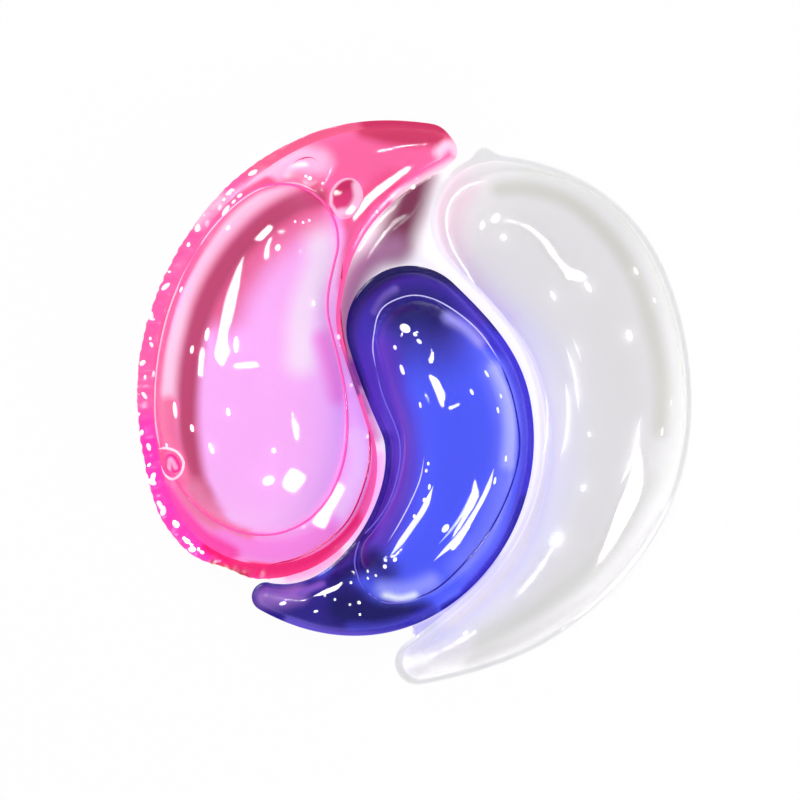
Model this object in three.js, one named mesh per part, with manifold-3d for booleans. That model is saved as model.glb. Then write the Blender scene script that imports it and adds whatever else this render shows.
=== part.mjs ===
// A three-chamber liquid laundry pod, lying on its flat side.
// Two clear films are sealed to each other around three swirled chambers of liquid.
// Millimetres, +Z up. The chambers lie about the seal plane, z = 0, and are set on the ground at the end.
import * as THREE from 'three';
import { NURBSCurve } from 'three/addons/curves/NURBSCurve.js';
import { mergeVertices } from 'three/addons/utils/BufferGeometryUtils.js';
import Module from 'manifold-3d';

// Film and fill
const FILM_THICKNESS = 0.15;
const FILL_CLEARANCE = 0.15;

// Lower side: each belly would hang to its depth, and lies flat where the pod rests
const BELLY_DEPTH = 6.6;
const REST_DEPTH = 5.5;

// Each chamber is a low shoulder that runs out into a tail, with a taller pillow standing on it.
// Spine points are [x, y, half width]: the seal's reach to its outer edge, the pillow's to its own foot.
// The chamber lies inside its seal by the seal width, moved by the seal shift where one side's seal is wider.
const PINK = {
  name: 'pink_liquid',
  color: 0xf590e6,
  sealSpine: [
    [-13.6, -5.8, 10.3], [-15.0, -0.8, 10.2], [-16.0, 4.5, 8.9], [-13.7, 12.1, 7.4],
    [-10.1, 17.7, 5.8], [-4.5, 21.6, 4.1], [1.2, 22.6, 2.3],
  ],
  sealWidth: 0.8,
  sealShift: [0.45, 0.25],
  shoulderRise: 3.8,
  pillowSpine: [
    [-12.2, 14.6, 5.0], [-13.4, 12.0, 6.6], [-16.5, 6.0, 7.8], [-13.9, -3.1, 9.9], [-11.9, -6.9, 7.2],
  ],
  pillowRise: 10.0,
};
const BLUE = {
  name: 'blue_liquid',
  color: 0x4a4fe8,
  sealSpine: [
    [-0.4, 6.4, 5.7], [2.5, 1.7, 7.1], [4.3, -1.0, 6.8], [4.2, -9.0, 6.5],
    [-1.8, -17.5, 4.9], [-9.6, -19.1, 1.9], [-13.3, -17.7, 1.3],
  ],
  sealWidth: 0.4,
  sealShift: [0, 0],
  shoulderRise: 3.9,
  pillowSpine: [
    [0.2, 5.6, 3.9], [3.2, 0.8, 5.7], [4.9, -2.3, 5.1], [3.2, -11.7, 5.4], [-1.3, -14.7, 3.9],
  ],
  pillowRise: 9.4,
};
const WHITE = {
  name: 'white_liquid',
  color: 0xe6e6ea,
  sealSpine: [
    [7.2, 16.2, 5.8], [12.9, 13.6, 7.8], [17.0, 7.8, 7.3], [18.6, -1.9, 6.9],
    [17.0, -9.2, 6.1], [12.7, -16.1, 4.6], [7.1, -20.7, 3.6], [0.3, -23.6, 2.0],
  ],
  sealWidth: 0.4,
  sealShift: [0, 0],
  shoulderRise: 3.6,
  pillowSpine: [
    [8.4, 15.2, 5.5], [12.1, 13.4, 7.5], [15.9, 9.8, 6.8], [18.8, -0.7, 6.3],
    [17.3, -9.2, 5.5], [12.1, -17.6, 3.3], [5.7, -21.7, 2.4], [1.3, -23.3, 1.4],
  ],
  pillowRise: 9.7,
};
const CHAMBERS = [PINK, BLUE, WHITE];

// Air bubbles that lie under the film of the pink chamber: centre and radii along x, y and z
const AIR_BUBBLES = [
  { centre: [-6.0, 18.2, 2.5], radii: [1.5, 1.9, 1.1] },
  { centre: [-21.6, -5.4, 3.4], radii: [1.3, 1.3, 1.3] },
];

// How full the rounded sections are: 1 is an ellipse, and less is squarer
const SHOULDER_ROUNDNESS = 0.9;
const PILLOW_ROUNDNESS = 0.86;

// Fineness of the surfaces
const SECTION_SPACING = 3;
const LEAST_END_STEPS = 2;
const END_ANGLE = THREE.MathUtils.degToRad(82);
const SHOULDER_STEPS = 6;
const PILLOW_STEPS = 8;
const WEB_STEPS = 12;
const WEB_START_ON_BLUE = 0.5;
const BUBBLE_STEPS = 10;
const SPINE_DEGREE = 3;

// Rough tool bodies, well clear of what they leave
const PILLOW_FOOT = 1;
const TRIM_SIZE = 200;

const wasm = await Module();
wasm.setup();

// Booleans
function solid(geometry) {
  const bare = geometry.clone();
  bare.deleteAttribute('normal');
  bare.deleteAttribute('uv');
  const merged = mergeVertices(bare);
  return new wasm.Manifold(new wasm.Mesh({
    numProp: 3,
    vertProperties: new Float32Array(merged.attributes.position.array),
    triVerts: new Uint32Array(merged.index.array),
  }));
}

function union(solids) {
  return solids.reduce((whole, next) => whole.add(next));
}

function geometryOf(body) {
  const { vertProperties, triVerts } = body.getMesh();
  const geometry = new THREE.BufferGeometry();
  geometry.setAttribute('position', new THREE.BufferAttribute(vertProperties, 3));
  geometry.setIndex(new THREE.BufferAttribute(triVerts, 1));
  geometry.computeVertexNormals();
  return geometry;
}

// Spines
function spineCurve(spine, grow) {
  const spans = spine.length - SPINE_DEGREE;
  const inner = Array.from({ length: spans + 1 }, (_, i) => i / spans);
  const knots = [...Array(SPINE_DEGREE).fill(0), ...inner, ...Array(SPINE_DEGREE).fill(1)];
  return new NURBSCurve(SPINE_DEGREE, knots, spine.map(([x, y, w]) => new THREE.Vector3(x, y, w + grow)));
}

// Cross-sections of the lobe that a disc sweeps out along its spine as it widens and narrows.
// taper falls from 1 to almost 0 around the rounded ends.
function lobeSections(spine, grow) {
  const curve = spineCurve(spine, grow);
  const steps = Math.ceil(curve.getLength() / SECTION_SPACING);
  const section = (t, angle, taper) => {
    const disc = curve.getPoint(t);
    const slope = curve.getTangent(t);
    const ahead = new THREE.Vector2(slope.x, slope.y).normalize();
    const centre = new THREE.Vector2(disc.x, disc.y).addScaledVector(ahead, disc.z * Math.sin(angle));
    const left = new THREE.Vector2(-ahead.y, ahead.x);
    return { centre, left, halfWidth: disc.z * Math.cos(angle), radius: disc.z - grow, taper };
  };
  const contactAngle = (t) => {
    const slope = curve.getTangent(t);
    return -Math.asin(slope.z / Math.hypot(slope.x, slope.y));
  };
  const end = (t, farAngle) => {
    const near = contactAngle(t);
    const arcLength = Math.abs(farAngle - near) * (curve.getPoint(t).z - grow);
    const endSteps = Math.max(LEAST_END_STEPS, Math.ceil(arcLength / SECTION_SPACING));
    return Array.from({ length: endSteps }, (_, i) => {
      const angle = near + (farAngle - near) * (i + 1) / endSteps;
      return section(t, angle, Math.cos(angle) / Math.cos(near));
    });
  };
  const body = Array.from({ length: steps + 1 }, (_, i) => section(i / steps, contactAngle(i / steps), 1));
  return [...end(0, -END_ANGLE).reverse(), ...body, ...end(1, END_ANGLE)];
}

function lobeOutline(spine) {
  const sections = lobeSections(spine, 0);
  const side = (sign) => sections.map((s) => s.centre.clone().addScaledVector(s.left, sign * s.halfWidth));
  return [...side(-1), ...side(1).reverse()];
}

// A body lofted through one ring of [across, z] points for each section
function loft(sections, ringOf) {
  const rings = sections.map((s) => ringOf(s).map(([across, z]) => {
    const p = s.centre.clone().addScaledVector(s.left, across);
    return [p.x, p.y, z];
  }));
  const count = rings[0].length;
  const last = (rings.length - 1) * count;
  const index = [];
  for (let j = 0; j < last; j += count) {
    for (let i = 0; i < count; i += 1) {
      const a = j + i;
      const b = j + (i + 1) % count;
      index.push(a, b, b + count, a, b + count, a + count);
    }
  }
  for (let i = 1; i < count - 1; i += 1) {
    index.push(0, i + 1, i, last, last + i, last + i + 1);
  }
  const geometry = new THREE.BufferGeometry();
  geometry.setAttribute('position', new THREE.Float32BufferAttribute(rings.flat(2), 3));
  geometry.setIndex(index);
  return solid(geometry);
}

function roundedArc(halfWidth, rise, roundness, steps) {
  return Array.from({ length: steps + 1 }, (_, i) => {
    const angle = Math.PI * i / steps;
    const across = Math.cos(angle);
    return [
      Math.sign(across) * halfWidth * Math.abs(across) ** roundness,
      rise * Math.sin(angle) ** roundness,
    ];
  });
}

// Narrower stretches stand lower, as a film filled with liquid does
function widestOf(spine) {
  return Math.max(...spine.map(([, , halfWidth]) => halfWidth));
}

// The chamber's own spine, inside its seal
function chamberSpine({ sealSpine, sealWidth, sealShift }) {
  return sealSpine.map(([x, y, halfWidth]) => [x + sealShift[0], y + sealShift[1], halfWidth - sealWidth]);
}

// Shoulder above the seal plane and belly below it, grown or shrunk by one offset all round
function shoulderAndBelly(chamber, grow) {
  const spine = chamberSpine(chamber);
  const sections = lobeSections(spine, grow);
  const widest = widestOf(spine);
  const floor = -(REST_DEPTH + grow);
  return loft(sections, ({ halfWidth, radius, taper }) => {
    const share = Math.sqrt(radius / widest);
    const rise = (chamber.shoulderRise * share + grow) * taper;
    const sag = (BELLY_DEPTH * share + grow) * taper;
    const upper = roundedArc(halfWidth, rise, SHOULDER_ROUNDNESS, SHOULDER_STEPS);
    const lower = roundedArc(-halfWidth, -sag, SHOULDER_ROUNDNESS, SHOULDER_STEPS);
    const flattened = lower.slice(1, -1).map(([across, z]) => [across, Math.max(z, floor)]);
    return [...upper, ...flattened];
  });
}

// Pillow, run on below the seal plane so that it always meets the shoulder
function pillow(chamber, grow) {
  const sections = lobeSections(chamber.pillowSpine, grow);
  const widest = widestOf(chamber.pillowSpine);
  return loft(sections, ({ halfWidth, radius, taper }) => {
    const top = chamber.pillowRise * Math.sqrt(radius / widest) + grow;
    const arc = roundedArc(halfWidth, top * taper, PILLOW_ROUNDNESS, PILLOW_STEPS);
    return [...arc, [-halfWidth, -PILLOW_FOOT], [halfWidth, -PILLOW_FOOT]];
  });
}

// Flat film between two heights
function plate(outline, bottom, top) {
  const geometry = new THREE.ExtrudeGeometry(new THREE.Shape(outline), {
    depth: top - bottom,
    bevelEnabled: false,
  });
  return solid(geometry.translate(0, 0, bottom));
}

// The web fills the ground that the three spines enclose
function webOutline() {
  const along = (chamber, from, to) => Array.from({ length: WEB_STEPS + 1 }, (_, i) => {
    const point = spineCurve(chamber.sealSpine, 0).getPoint(from + (to - from) * i / WEB_STEPS);
    return new THREE.Vector2(point.x, point.y);
  });
  return [...along(PINK, 0, 1), ...along(WHITE, 0, 1), ...along(BLUE, WEB_START_ON_BLUE, 1)].reverse();
}

function flatFilm(bottom, top) {
  const seals = CHAMBERS.map((chamber) => plate(lobeOutline(chamber.sealSpine), bottom, top));
  return union([...seals, plate(webOutline(), bottom, top)]);
}

// Everything above or below a height, for trimming
function above(height) {
  const box = new THREE.BoxGeometry(TRIM_SIZE, TRIM_SIZE, TRIM_SIZE);
  return solid(box.translate(0, 0, height + TRIM_SIZE / 2));
}

function below(height) {
  return above(height - TRIM_SIZE);
}

// Upper film: three formed pockets in a flat web, open on the sealed side
function formedFilm() {
  const pocket = (chamber, grow) => shoulderAndBelly(chamber, grow).add(pillow(chamber, grow));
  const outside = CHAMBERS.map((chamber) => pocket(chamber, FILM_THICKNESS));
  const inside = CHAMBERS.map((chamber) => pocket(chamber, 0));
  return union([flatFilm(0, FILM_THICKNESS), ...outside]).subtract(union(inside)).subtract(below(0));
}

// Lower film: bellies out under each chamber and lies flat where it rests
function lidFilm() {
  const outside = CHAMBERS.map((chamber) => shoulderAndBelly(chamber, FILM_THICKNESS));
  const inside = CHAMBERS.map((chamber) => shoulderAndBelly(chamber, 0));
  return union([flatFilm(-FILM_THICKNESS, 0), ...outside]).subtract(union(inside)).subtract(above(0));
}

function bubble({ centre, radii }) {
  const sphere = new THREE.SphereGeometry(1, BUBBLE_STEPS, BUBBLE_STEPS);
  return solid(sphere.scale(...radii).translate(...centre));
}

// Liquid: fills its chamber, with hollows where air lies against the film
function liquid(chamber) {
  const dome = pillow(chamber, -FILL_CLEARANCE).subtract(below(FILL_CLEARANCE));
  const body = shoulderAndBelly(chamber, -FILL_CLEARANCE).add(dome);
  return chamber === PINK ? body.subtract(union(AIR_BUBBLES.map(bubble))) : body;
}

// Materials
const clearFilm = new THREE.MeshStandardMaterial({
  color: 0xf4f2f6, roughness: 0.08, metalness: 0, transparent: true, opacity: 0.35,
});
const liquidMaterial = ({ color }) => new THREE.MeshStandardMaterial({ color, roughness: 0.1, metalness: 0 });

function named(name, body, material) {
  const mesh = new THREE.Mesh(geometryOf(body), material);
  mesh.name = name;
  return mesh;
}

const pod = new THREE.Group();
pod.add(named('formed_film', formedFilm(), clearFilm));
pod.add(named('lid_film', lidFilm(), clearFilm));
CHAMBERS.forEach((chamber) => pod.add(named(chamber.name, liquid(chamber), liquidMaterial(chamber))));

// Stand the pod on the ground, centred on the origin
const box = new THREE.Box3().setFromObject(pod);
const middle = box.getCenter(new THREE.Vector3());
pod.position.set(-middle.x, -middle.y, -box.min.z);

export default pod;
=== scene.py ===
# Dresses the three-chamber laundry pod: its liquids, its clear films, and the creases and bubbles in them.
# Sizes are in millimetres and are turned into metres where the meshes are made.
import math

import bpy
import numpy as np
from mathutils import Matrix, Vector


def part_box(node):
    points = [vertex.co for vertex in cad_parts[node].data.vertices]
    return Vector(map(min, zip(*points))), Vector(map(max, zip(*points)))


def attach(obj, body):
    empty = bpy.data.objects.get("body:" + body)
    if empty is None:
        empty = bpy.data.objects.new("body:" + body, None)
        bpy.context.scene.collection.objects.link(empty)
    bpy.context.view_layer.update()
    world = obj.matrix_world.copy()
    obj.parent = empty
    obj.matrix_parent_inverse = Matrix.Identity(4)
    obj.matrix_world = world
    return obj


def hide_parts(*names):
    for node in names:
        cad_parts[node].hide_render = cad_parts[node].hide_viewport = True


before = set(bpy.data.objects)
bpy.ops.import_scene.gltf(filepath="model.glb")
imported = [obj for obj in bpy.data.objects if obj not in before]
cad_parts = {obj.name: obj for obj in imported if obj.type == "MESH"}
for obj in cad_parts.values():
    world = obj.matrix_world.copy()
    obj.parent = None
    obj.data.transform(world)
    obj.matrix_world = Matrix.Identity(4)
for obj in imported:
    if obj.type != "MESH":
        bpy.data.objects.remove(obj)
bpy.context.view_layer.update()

# Film, seal and liquid
MM = 0.001
FILM_THICKNESS = 0.15
LIQUID_GAP = 0.02
BELLY_DEPTH = 6.6
REST_DEPTH = 5.5
SHOULDER_ROUNDNESS = 0.9
PILLOW_ROUNDNESS = 0.86
CREASE_RADIUS = 0.4
REST_RADIUS = 0.6
BEAD_RISE = 0.1
BEAD_WIDTH = 0.22
# Beads and folds die out between this share of the way to a chamber's edge and the edge
FADE_REACH = 0.9

# Folds in the film over the pink tail: rise, half width in pixels, and the pixels that each follows
PINK_FOLDS = [
    (0.5, 13, [(264, 178), (290, 161), (316, 163)]),
    (0.4, 3.5, [(316, 191), (326, 184), (334, 164)]),
    (0.35, 3.5, [(322, 190), (336, 212), (341, 232)]),
]

# Chambers, as in the solids, but with the foot of the pink pillow drawn in to the line in the photograph
# Spine points are (x, y, half width) about the middle of the swirl
PINK = {
    "seal_spine": [
        (-13.6, -5.8, 10.3), (-15.0, -0.8, 10.2), (-16.0, 4.5, 8.9), (-13.7, 12.1, 7.4),
        (-10.1, 17.7, 5.8), (-4.5, 21.6, 4.1), (1.2, 22.6, 2.3),
    ],
    "seal_width": 0.8,
    "seal_shift": (0.45, 0.25),
    "shoulder_rise": 3.8,
    "pillow_spine": [
        (-11.9, 14.3, 5.1), (-13.6, 12.0, 6.2), (-15.5, 6.9, 6.6), (-14.8, -2.2, 9.9), (-13.6, -5.2, 6.9),
    ],
    "pillow_rise": 10.2,
    "folds": PINK_FOLDS,
}
BLUE = {
    "seal_spine": [
        (-0.4, 6.4, 5.7), (2.5, 1.7, 7.1), (4.3, -1.0, 6.8), (4.2, -9.0, 6.5),
        (-1.8, -17.5, 4.9), (-9.6, -19.1, 1.9), (-13.3, -17.7, 1.3),
    ],
    "seal_width": 0.4,
    "seal_shift": (0.0, 0.0),
    "shoulder_rise": 3.9,
    "pillow_spine": [
        (0.2, 5.6, 3.9), (3.2, 0.8, 5.7), (4.9, -2.3, 5.1), (3.2, -11.7, 5.4), (-1.3, -14.7, 3.9),
    ],
    "pillow_rise": 9.4,
    "folds": [],
}
WHITE = {
    "seal_spine": [
        (7.2, 16.2, 5.8), (12.9, 13.6, 7.8), (17.0, 7.8, 7.3), (18.6, -1.9, 6.9),
        (17.0, -9.2, 6.1), (12.7, -16.1, 4.6), (7.1, -20.7, 3.6), (0.3, -23.6, 2.0),
    ],
    "seal_width": 0.4,
    "seal_shift": (0.0, 0.0),
    "shoulder_rise": 3.6,
    "pillow_spine": [
        (8.4, 15.2, 5.5), (12.1, 13.4, 7.5), (15.9, 9.8, 6.8), (18.8, -0.7, 6.3),
        (17.3, -9.2, 5.5), (12.1, -17.6, 3.3), (5.7, -21.7, 2.4), (1.3, -23.3, 1.4),
    ],
    "pillow_rise": 9.7,
    "folds": [],
}
CHAMBERS = {"pink": PINK, "blue": BLUE, "white": WHITE}

# The photograph's frame: places on the pod's face are read in its pixels
IMAGE_SIZE = 800
PIXEL = 0.09
SWIRL_CENTRE = (414, 400)

# Fineness of the surfaces
SPINE_DEGREE = 3
SPINE_SAMPLES = 240
LINE_SAMPLES = 14
BODY_SECTIONS = 150
END_SECTIONS = 22
END_ANGLE = math.radians(86)
STEEPEST_TAPER = 0.95
ACROSS_SAMPLES = 320
LIQUID_POINTS = 150
FILM_POINTS = 84
WEB_PITCH = 0.25
CHUNK = 4000
TINY = 1e-9


# Colours and places
def linear(*rgb):
    """An 8-bit display colour as linear light, by the sRGB curve."""
    share = np.array(rgb) / 255
    return np.where(share <= 0.04045, share / 12.92, ((share + 0.055) / 1.055) ** 2.4)


def from_pixels(points):
    """Pixels of the photograph as millimetres about the middle of the swirl."""
    pixels = np.array(points, float)
    return (pixels - SWIRL_CENTRE) * (PIXEL, -PIXEL)


# Curves
def spine_curve(points, shift=(0.0, 0.0)):
    """Samples of the clamped B-spline of the (x, y, half width) controls."""
    controls = np.array(points, float) + (*shift, 0.0)
    spans = len(controls) - SPINE_DEGREE
    knots = np.concatenate([np.zeros(SPINE_DEGREE), np.linspace(0, 1, spans + 1), np.ones(SPINE_DEGREE)])
    t = np.linspace(0, 1 - TINY, SPINE_SAMPLES)

    def share(low, high):
        return (t - low) / (high - low) if high > low else np.zeros_like(t)

    basis = [((low <= t) & (t < high)).astype(float) for low, high in zip(knots, knots[1:])]
    for degree in range(1, SPINE_DEGREE + 1):
        basis = [
            share(knots[i], knots[i + degree]) * basis[i]
            + (1 - share(knots[i + 1], knots[i + degree + 1])) * basis[i + 1]
            for i in range(len(basis) - 1)
        ]
    return np.array(basis).T @ controls


def smooth_line(points):
    """A Catmull-Rom line through the points."""
    p = np.array(points, float)
    p = np.vstack([2 * p[0] - p[1], p, 2 * p[-1] - p[-2]])
    t = np.linspace(0, 1, LINE_SAMPLES, endpoint=False)[:, None]
    spans = [
        b + t * (c - a) / 2 + t**2 * (a - 2.5 * b + 2 * c - d / 2) + t**3 * (1.5 * (b - c) + (d - a) / 2)
        for a, b, c, d in zip(p, p[1:], p[2:], p[3:])
    ]
    return np.vstack([*spans, p[-2:-1]])


def reach(xy, curve, grow=0.0):
    """How far out in a lobe each point lies, 0 on its spine and 1 on its edge, and the half width there.

    The half width levels off towards the ends of the spine, so that heights run on smoothly round them."""
    out = np.empty(len(xy))
    half = np.empty(len(xy))
    along = np.linspace(0, 1, len(curve))
    for part in np.array_split(np.arange(len(xy)), len(xy) // CHUNK + 1):
        offset = xy[part, None, :] - curve[None, :, :2]
        gap = np.hypot(offset[..., 0], offset[..., 1]) / (curve[:, 2] + grow)
        near = np.clip(gap.argmin(1), 1, len(curve) - 2)
        rows = np.arange(len(part))
        before, here, after = gap[rows, near - 1], gap[rows, near], gap[rows, near + 1]
        bend = np.maximum(before - 2 * here + after, TINY)
        slip = np.clip((before - after) / bend / 2, -1, 1)
        out[part] = here - (before - after) * slip / 4
        half[part] = np.interp(ease(0, 1, (near + slip) / (len(curve) - 1)), along, curve[:, 2])
    return out, half


def distance(xy, line):
    """Distance from each point to the nearest point of a line."""
    out = np.empty(len(xy))
    for part in np.array_split(np.arange(len(xy)), len(xy) // CHUNK + 1):
        offset = xy[part, None, :] - line[None, :, :]
        out[part] = np.hypot(offset[..., 0], offset[..., 1]).min(1)
    return out


def ease(low, high, x):
    """A smooth step from 0 at low to 1 at high."""
    t = np.clip((x - low) / (high - low), 0, 1)
    return t * t * (3 - 2 * t)


def smooth_max(a, b, radius):
    """The larger of two heights, with a fillet where they cross."""
    share = np.clip(0.5 + (a - b) / radius / 2, 0, 1)
    return b + (a - b) * share + radius * share * (1 - share)


def dome(out, roundness):
    """Height of a rounded profile, 1 on the spine and 0 on the edge."""
    power = 2 / roundness
    return (1 - np.clip(out, 0, 1) ** power) ** (1 / power)


for chamber in CHAMBERS.values():
    chamber["seal_curve"] = spine_curve(chamber["seal_spine"])
    chamber["edge_curve"] = spine_curve(chamber["seal_spine"], chamber["seal_shift"])
    chamber["edge_curve"][:, 2] -= chamber["seal_width"]
    chamber["pillow_curve"] = spine_curve(chamber["pillow_spine"])
    chamber["widest_edge"] = max(half for _, _, half in chamber["seal_spine"]) - chamber["seal_width"]
    chamber["widest_pillow"] = max(half for _, _, half in chamber["pillow_spine"])


# Heights about the seal plane
def top_height(chamber, xy, grow):
    """Height of a pocket's upper side: its shoulder with the pillow standing on it."""
    edge, edge_half = reach(xy, chamber["edge_curve"], grow)
    foot, pillow_half = reach(xy, chamber["pillow_curve"], grow)
    shoulder_share = np.sqrt(edge_half / chamber["widest_edge"])
    pillow_share = np.sqrt(pillow_half / chamber["widest_pillow"])
    shoulder = (chamber["shoulder_rise"] * shoulder_share + grow) * dome(edge, SHOULDER_ROUNDNESS)
    pillow = (chamber["pillow_rise"] * pillow_share + grow) * dome(foot, PILLOW_ROUNDNESS)
    bead = BEAD_RISE * np.exp(-((foot - 1) * pillow_half / BEAD_WIDTH) ** 2)
    fade = ease(1, FADE_REACH, edge)
    height = smooth_max(shoulder, pillow, CREASE_RADIUS) + bead * fade
    for rise, half, pixels in chamber["folds"]:
        away = distance(xy, smooth_line(from_pixels(pixels))) / PIXEL
        height += rise * np.exp(-(away / half) ** 2) * fade
    return np.where(edge < 1, height, 0.0)


def bottom_height(chamber, xy, grow):
    """Height of a pocket's belly, flat where it rests."""
    edge, edge_half = reach(xy, chamber["edge_curve"], grow)
    share = np.sqrt(edge_half / chamber["widest_edge"])
    sag = (BELLY_DEPTH * share + grow) * dome(edge, SHOULDER_ROUNDNESS)
    return smooth_max(-sag, -(REST_DEPTH + grow), REST_RADIUS)


# Section lines across a lobe, for grids that follow its outline
def section_lines(curve, grow):
    """Ends of the lines across the lobe that a disc sweeps out along its spine, with rounded ends."""
    step = np.gradient(curve, axis=0)
    speed = np.hypot(step[:, 0], step[:, 1])
    contact = -np.arcsin(np.clip(step[:, 2] / speed, -STEEPEST_TAPER, STEEPEST_TAPER))
    body = np.linspace(0, len(curve) - 1, BODY_SECTIONS).round().astype(int)
    first, last = body[0], body[-1]
    starts = np.linspace(-END_ANGLE, contact[first], END_SECTIONS, endpoint=False)
    ends = np.linspace(END_ANGLE, contact[last], END_SECTIONS, endpoint=False)[::-1]
    index = np.concatenate([np.full(END_SECTIONS, first), body, np.full(END_SECTIONS, last)])
    angle = np.concatenate([starts, contact[body], ends])
    ahead = step[index, :2] / speed[index, None]
    left = np.stack([-ahead[:, 1], ahead[:, 0]], 1)
    radius = (curve[index, 2] + grow)[:, None]
    centre = curve[index, :2] + ahead * radius * np.sin(angle)[:, None]
    reach_out = left * radius * np.cos(angle)[:, None]
    return centre - reach_out, centre + reach_out


def draped_grid(lines, height, count):
    """Points evenly spaced along each section line as it runs over a height, as an array of rows."""
    right, left = lines
    share = (1 - np.cos(np.linspace(0, math.pi, ACROSS_SAMPLES))) / 2
    xy = right[:, None, :] + (left - right)[:, None, :] * share[None, :, None]
    z = height(xy.reshape(-1, 2)).reshape(xy.shape[:2])
    rows = np.concatenate([xy, z[..., None]], 2)
    grid = np.empty((len(rows), count, 3))
    for row, out in zip(rows, grid):
        along = np.concatenate([[0], np.linalg.norm(np.diff(row, axis=0), axis=1).cumsum()])
        stops = np.linspace(0, along[-1], count)
        for axis in range(3):
            out[:, axis] = np.interp(stops, along, row[:, axis])
    return grid


# Meshes
def shift_to_frame():
    """From the middle of the swirl and the seal plane to the frame's own origin."""
    edges = np.vstack([np.vstack(section_lines(c["seal_curve"], 0.0)) for c in CHAMBERS.values()])
    middle = (edges.min(0) + edges.max(0)) / 2
    seal_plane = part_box("lid_film")[1].z / MM
    return np.array([-middle[0], -middle[1], seal_plane])


TO_FRAME = shift_to_frame()


def grid_faces(rows, columns, number, upward):
    """Quads between neighbouring points; number gives a point's index from its row and column."""
    faces = []
    for j in range(rows - 1):
        for m in range(columns - 1):
            quad = [number(j, m), number(j + 1, m), number(j + 1, m + 1), number(j, m + 1)]
            faces.append(quad if upward else quad[::-1])
    return faces


def joined(parts):
    """Points and faces of several (points, faces) as one."""
    starts = np.cumsum([0] + [len(points) for points, _ in parts])
    faces = [[int(n + start) for n in face] for start, (_, more) in zip(starts, parts) for face in more]
    return np.vstack([points for points, _ in parts]), faces


def mesh_piece(name, points, faces, material, colours=None, haze=None):
    """An object from points in millimetres, smooth shaded, riding on the pod."""
    mesh = bpy.data.meshes.new(name)
    mesh.from_pydata(((np.asarray(points) + TO_FRAME) * MM).tolist(), [], faces)
    mesh.polygons.foreach_set("use_smooth", [True] * len(mesh.polygons))
    if colours is not None:
        # Each point's colour, painted shade, highlights and reflections included
        dye_and_painted_light = mesh.attributes.new("dye_and_painted_light", "FLOAT_COLOR", "POINT")
        dye_and_painted_light.data.foreach_set("color", np.column_stack([colours, np.ones(len(colours))]).ravel())
    if haze is not None:
        mesh.attributes.new("haze", "FLOAT", "POINT").data.foreach_set("value", haze)
    mesh.materials.append(material)
    mesh.validate()
    piece = bpy.data.objects.new(name, mesh)
    bpy.context.scene.collection.objects.link(piece)
    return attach(piece, "root")


def closed_body(top, bottom):
    """Points and faces of a body between two grids that share their side edges."""
    rows, columns = top.shape[:2]
    inner = bottom[:, 1:-1].reshape(-1, 3)
    points = np.vstack([top.reshape(-1, 3), inner])

    def upper(j, m):
        return j * columns + m

    def lower(j, m):
        if m in (0, columns - 1):
            return upper(j, m)
        return rows * columns + j * (columns - 2) + m - 1

    faces = grid_faces(rows, columns, upper, True) + grid_faces(rows, columns, lower, False)
    for j, forward in ((0, True), (rows - 1, False)):
        for m in range(columns - 1):
            ring = [upper(j, m), upper(j, m + 1), lower(j, m + 1), lower(j, m)]
            ring = list(dict.fromkeys(ring))
            faces.append(ring if forward else ring[::-1])
    return points, faces


# Colour in the liquids: a ground colour with soft strokes laid along the forms, which add painted shade,
# painted highlights and painted reflections to the liquids' own colour,
# each a display colour, a half width and a softness in pixels, and the pixels that it follows
PINK_GROUND = (253, 180, 250)
# Pink strokes: the liquid's colour, with painted shade in a dark band down the pillow's left side and along
# the bottom seam, painted highlights as pale streaks and glints, and painted reflections along the rims
PINK_DYE_AND_PAINTED_LIGHT = [
    ((248, 104, 166), 44, 16, [(275, 165), (340, 150), (390, 148), (440, 145)]),
    ((206, 54, 102), 15, 6, [(368, 124), (398, 131), (440, 131)]),
    ((253, 205, 232), 5, 4, [(438, 153), (448, 145), (455, 152)]),
    ((252, 188, 228), 14, 9, [(250, 186), (272, 170), (292, 160), (318, 163)]),
    ((253, 178, 244), 26, 12, [(298, 234), (304, 262), (298, 300)]),
    ((253, 222, 252), 14, 14, [(318, 236), (322, 262), (312, 290), (304, 320), (302, 360)]),
    ((254, 140, 222), 9, 9, [(324, 340), (332, 368), (338, 396)]),
    ((254, 200, 254), 9, 7, [(356, 436), (360, 462), (352, 486), (340, 508)]),
    ((254, 138, 228), 13, 8, [(328, 530), (304, 544), (276, 550), (246, 547), (224, 538)]),
    ((252, 92, 150), 10, 3, [
        (268, 187), (235, 207), (210, 232), (188, 264), (170, 300), (159, 350), (155, 400), (158, 440),
        (166, 472),
    ]),
    ((253, 192, 226), 9, 4, [
        (292, 193), (262, 204), (236, 226), (210, 264), (192, 302), (178, 348), (172, 392),
    ]),
    ((234, 104, 160), 22, 20, [(312, 208), (284, 224), (256, 250), (232, 285), (222, 308)]),
    ((190, 68, 114), 11.5, 7, [
        (318, 198), (300, 203), (280, 214), (258, 231), (231, 261), (208, 302), (194, 350), (189, 400),
        (190, 440), (196, 480), (203, 496),
    ]),
    ((224, 112, 158), 10, 8, [(198, 488), (206, 502), (214, 512)]),
    ((236, 126, 178), 5, 5, [(214, 514), (230, 526), (250, 534)]),
    ((250, 50, 156), 8, 4, [(174, 459), (173, 468)]),
    ((236, 84, 146), 14, 8, [(392, 184), (368, 200), (356, 222)]),
    ((238, 98, 158), 8, 5, [(355, 226), (350, 255), (346, 285)]),
    ((234, 122, 170), 8, 8, [(180, 488), (194, 508), (214, 522)]),
    ((252, 70, 176), 8, 5, [(166, 490), (183, 515), (206, 538), (232, 553)]),
    ((244, 36, 118), 5, 3, [
        (375, 425), (377, 452), (373, 482), (361, 513), (340, 541), (312, 560), (280, 568), (250, 566),
    ]),
    ((240, 104, 158), 9, 5, [(170, 405), (171, 430), (176, 455), (184, 480)]),
    ((246, 196, 218), 3, 3, [(398, 193), (412, 182), (430, 169), (448, 156)]),
]
BLUE_GROUND = (76, 90, 244)
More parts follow.
